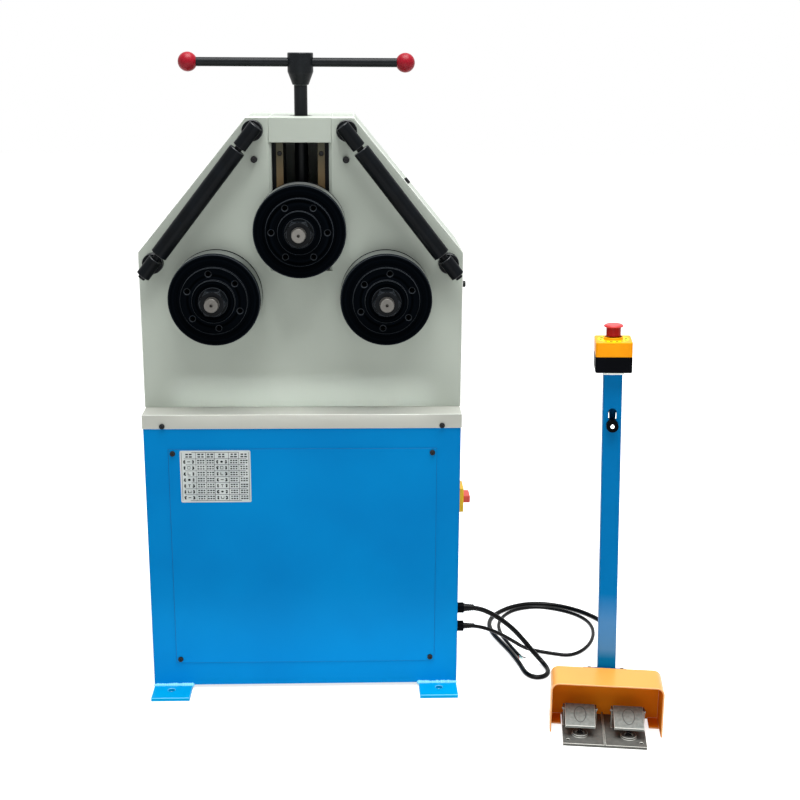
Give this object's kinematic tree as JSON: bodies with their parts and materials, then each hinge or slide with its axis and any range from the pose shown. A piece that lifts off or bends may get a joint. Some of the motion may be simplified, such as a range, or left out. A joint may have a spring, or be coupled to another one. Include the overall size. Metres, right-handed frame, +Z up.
{
  "type": "ring roller",
  "caption": "Electric ring roller: three rollers on a cabinet, driven lower shafts, hand-screw top roller, side guide rollers and a pedal post.",
  "frame": {"origin": "on the floor, at the centre of the four anchor holes in the foot plates", "axes": "+Z up, +X to the operator's right, +Y away from the operator, along the roller shafts into the machine"},
  "size_m": [1.0234, 0.8304, 1.28],
  "materials": {
    "blue_enamel": "smooth gloss sheet-metal enamel",
    "grey_enamel": "smooth satin machine enamel",
    "bare_steel": "ground and turned steel",
    "black_steel": "black-oxidised steel, lightly oiled",
    "roller_steel": "black-oxidised tool steel with ground rims",
    "cast_grey": "rough grey casting",
    "bronze": "worn bearing bronze",
    "red_plastic": "gloss red ball knob",
    "yellow_plastic": "gloss yellow housing",
    "black_plastic": "matt black housing",
    "orange_enamel": "gloss orange enamel",
    "lamp_lens": "clear-white lens",
    "cable_jacket": "black cable jacket",
    "switch_gear": "light grey switch gear",
    "motor_grey": "dark grey motor enamel"
  },
  "bodies": {
    "frame": {"cabinet_sides": "blue_enamel", "cabinet_back": "blue_enamel", "cabinet_front_frame": "blue_enamel", "cabinet_floor": "blue_enamel", "foot_plates": "blue_enamel", "access_panel": "blue_enamel", "deck_tray": "grey_enamel", "screws": "black_steel", "front_plate": "grey_enamel", "back_plate": "grey_enamel", "side_covers": "grey_enamel", "top_block": "grey_enamel", "slide_rails": "black_steel", "gib_strips": "bronze", "lead_nut": "bronze", "bearing_covers": "black_steel", "shaft_bearings": "bare_steel", "guide_brackets": "black_steel", "gear_reducer": "motor_grey", "drive_motor": "motor_grey", "electrical_panel": "switch_gear", "isolator_plate": "yellow_plastic", "pilot_lamp": "lamp_lens", "cable_glands": "black_plastic", "control_cable": "cable_jacket", "mains_lead": "cable_jacket", "pole": "blue_enamel", "estop_base": "black_plastic", "estop_lid": "yellow_plastic", "pedal_hood": "orange_enamel", "pedal_base": "cast_grey", "pedal_pins": "bare_steel", "left_pedal_spring": "bare_steel", "right_pedal_spring": "bare_steel"},
    "isolator_knob": {"isolator_handle": "red_plastic"},
    "post_knob": {"pole_knob": "black_plastic"},
    "stop_plunger": {"estop_plunger": "red_plastic"},
    "stop_cap": {"estop_cap": "red_plastic"},
    "pedal_left": {"left_pedal": "cast_grey"},
    "pedal_right": {"right_pedal": "cast_grey"},
    "slide": {"slide_block": "black_steel", "slide_keeper": "black_steel", "slide_bearings": "bare_steel"},
    "feed_screw": {"lead_screw": "black_steel"},
    "handle_bar": {"tommy_bar": "black_steel", "ball_knobs": "red_plastic"},
    "top_spindle": {"top_shaft": "bare_steel", "top_roller": "roller_steel", "top_nut": "black_steel"},
    "left_spindle": {"left_shaft": "bare_steel", "left_roller": "roller_steel", "left_nut": "black_steel", "left_gear": "bare_steel"},
    "right_spindle": {"right_shaft": "bare_steel", "right_roller": "roller_steel", "right_nut": "black_steel", "right_gear": "bare_steel"},
    "pinion_shaft": {"drive_pinion": "bare_steel"},
    "guide_roller_left": {"left_guide_sleeve": "black_steel"},
    "guide_roller_right": {"right_guide_sleeve": "black_steel"}
  },
  "joints": [
    {"name": "top_slide", "type": "slide", "parent": "frame", "child": "slide", "axis": [0, 0, 1], "range_m": [-0.0455, 0.0605]},
    {"name": "screw_turn", "type": "hinge", "parent": "slide", "child": "feed_screw", "pos_m": [0, -0.1168, 1], "axis": [0, 0, 1], "range_deg": [-3240, 4320]},
    {"name": "bar_slide", "type": "slide", "parent": "feed_screw", "child": "handle_bar", "axis": [1, 0, 0], "range_m": [-0.158, 0.172]},
    {"name": "top_spin", "type": "hinge", "parent": "slide", "child": "top_spindle", "pos_m": [0, -0.25, 0.9526], "axis": [0, 1, 0], "continuous": true},
    {"name": "left_spin", "type": "hinge", "parent": "frame", "child": "left_spindle", "pos_m": [-0.1642, -0.25, 0.8221], "axis": [0, 1, 0], "continuous": true},
    {"name": "right_spin", "type": "hinge", "parent": "frame", "child": "right_spindle", "pos_m": [0.1642, -0.25, 0.8221], "axis": [0, 1, 0], "continuous": true},
    {"name": "pinion_spin", "type": "hinge", "parent": "frame", "child": "pinion_shaft", "pos_m": [0, 0, 0.77807], "axis": [0, 1, 0], "continuous": true},
    {"name": "left_guide_spin", "type": "hinge", "parent": "frame", "child": "guide_roller_left", "pos_m": [-0.0895, -0.2238, 1.136], "axis": [-0.6157, 0, -0.788], "continuous": true},
    {"name": "right_guide_spin", "type": "hinge", "parent": "frame", "child": "guide_roller_right", "pos_m": [0.0895, -0.2238, 1.136], "axis": [0.6157, 0, -0.788], "continuous": true},
    {"name": "isolator_turn", "type": "hinge", "parent": "frame", "child": "isolator_knob", "pos_m": [0.3291, -0.141, 0.38], "axis": [1, 0, 0], "range_deg": [0, 90]},
    {"name": "post_knob_turn", "type": "hinge", "parent": "frame", "child": "post_knob", "pos_m": [0.58741, -0.38798, 0.60379], "axis": [0.1323, 0.9912, 0], "range_deg": [-1080, 0]},
    {"name": "stop_press", "type": "slide", "parent": "frame", "child": "stop_plunger", "axis": [0.0259, -0.0035, -0.9997], "range_m": [0, 0.005], "stiffness_N_per_m": 800, "springref_m": -0.004},
    {"name": "stop_twist", "type": "hinge", "parent": "stop_plunger", "child": "stop_cap", "pos_m": [0.58589, -0.36255, 0.78973], "axis": [-0.0259, 0.0035, 0.9997], "range_deg": [-45, 0], "stiffness_Nm_per_rad": 0.05, "springref_deg": 17.19},
    {"name": "left_pedal_press", "type": "hinge", "parent": "frame", "child": "pedal_left", "pos_m": [0.54231, -0.42736, 0.038], "axis": [0.9912, -0.1323, 0], "range_deg": [0, 10], "stiffness_Nm_per_rad": 1.5, "springref_deg": -20.05, "deforming": ["left_pedal_spring"]},
    {"name": "right_pedal_press", "type": "hinge", "parent": "frame", "child": "pedal_right", "pos_m": [0.63489, -0.43971, 0.038], "axis": [0.9912, -0.1323, 0], "range_deg": [0, 10], "stiffness_Nm_per_rad": 1.5, "springref_deg": -20.05, "deforming": ["right_pedal_spring"]}
  ],
  "couplings": [
    {"joint": "top_slide", "follows": "screw_turn", "m_per_rad": 0.00079577},
    {"joint": "right_spin", "follows": "left_spin", "ratio": 1},
    {"joint": "pinion_spin", "follows": "left_spin", "ratio": -1.4286}
  ]
}
